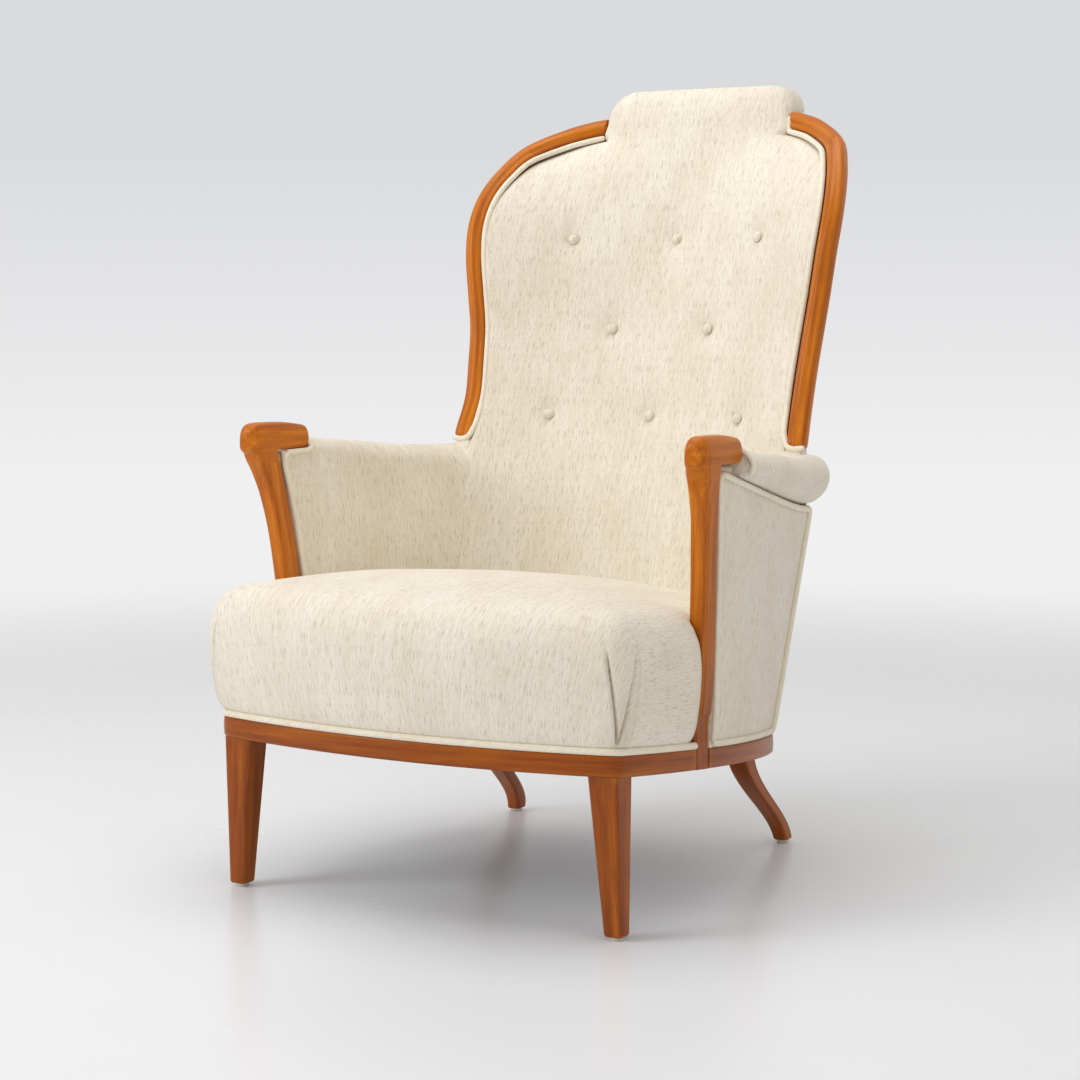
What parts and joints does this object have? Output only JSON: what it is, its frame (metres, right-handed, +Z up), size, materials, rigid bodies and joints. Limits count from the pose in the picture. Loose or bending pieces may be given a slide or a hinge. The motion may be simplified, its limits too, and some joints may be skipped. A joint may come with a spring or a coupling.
{
  "type": "fireside armchair",
  "caption": "High-backed fireside armchair: show-wood frame with splayed rear legs, carved hand rests and curved stiles, deep sprung seat, buttoned barrel back, padded arms.",
  "frame": {"origin": "under the middle of the chair's bounding box, on the floor", "axes": "+Z up; the chair faces -Y; X = 0 is its plane of symmetry, so +X is the sitter's left hand side"},
  "size_m": [0.6978, 0.8806, 1.057],
  "materials": {
    "show_wood": "satin lacquer, warm honey brown",
    "frame_wood": "bare sawn hardwood",
    "wool": "heathered cream wool weave",
    "welt_wool": "corded wool weave",
    "jute": "plain jute weave",
    "stuffing": "loose fibre",
    "dust_cloth": "thin matt cloth",
    "spring_steel": "plain wire",
    "screw_steel": "zinc plated",
    "glide_plastic": "smooth nylon"
  },
  "bodies": {
    "root": {"front_rail": "show_wood", "left_side_rail": "show_wood", "right_side_rail": "show_wood", "rear_rail": "show_wood", "left_front_leg": "show_wood", "right_front_leg": "show_wood", "left_rear_leg": "show_wood", "right_rear_leg": "show_wood", "foot_glides": "glide_plastic", "left_arm_post": "show_wood", "right_arm_post": "show_wood", "left_back_stile": "show_wood", "right_back_stile": "show_wood", "crest_rail": "frame_wood", "left_back_upright": "frame_wood", "right_back_upright": "frame_wood", "lower_back_rail": "frame_wood", "left_arm_rail": "frame_wood", "right_arm_rail": "frame_wood", "corner_blocks": "frame_wood", "corner_screws": "screw_steel", "seat_webbing": "jute", "seat_springs": "spring_steel", "spring_hessian": "jute", "seat_stuffing": "stuffing", "seat_cover": "wool", "seat_welt": "welt_wool", "back_webbing": "jute", "back_pad": "wool", "back_buttons": "wool", "left_arm_pad": "wool", "right_arm_pad": "wool", "left_outside_arm": "wool", "right_outside_arm": "wool", "outside_back": "wool", "left_back_welt": "welt_wool", "right_back_welt": "welt_wool", "left_arm_welt": "welt_wool", "right_arm_welt": "welt_wool", "dust_cover": "dust_cloth"}
  },
  "joints": []
}
